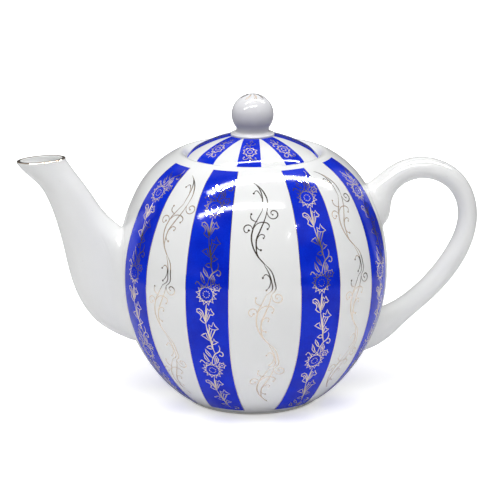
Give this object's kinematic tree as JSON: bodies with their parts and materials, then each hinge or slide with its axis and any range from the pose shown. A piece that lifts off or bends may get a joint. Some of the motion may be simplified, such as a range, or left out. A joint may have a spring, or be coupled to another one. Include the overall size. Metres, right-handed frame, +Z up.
{
  "type": "teapot",
  "caption": "Round porcelain teapot with an S-shaped spout, ear handle and lift-off domed lid with a ball knob, striped in cobalt with gold ornament.",
  "frame": {"origin": "middle of the foot ring on the table, on the pot's upright axis", "axes": "+Z up along the pot's axis, +X towards the handle, the spout points to -X"},
  "size_m": [0.2282, 0.1344, 0.1541],
  "materials": {
    "porcelain": "glossy white glaze",
    "bisque": "unglazed pierced plate",
    "cobalt_glaze": "glossy cobalt stripes under the glaze",
    "gilding": "fired gold ornament"
  },
  "bodies": {
    "pot": {"pot_body": "porcelain", "spout": "porcelain", "spout_strainer": "bisque", "handle": "porcelain"},
    "lid": {"lid": "porcelain", "lid_knob": "porcelain"}
  },
  "joints": [
    {"name": "lid_lift", "type": "slide", "parent": "pot", "child": "lid", "axis": [0, 0, 1], "range_m": [0, 0.05]}
  ]
}
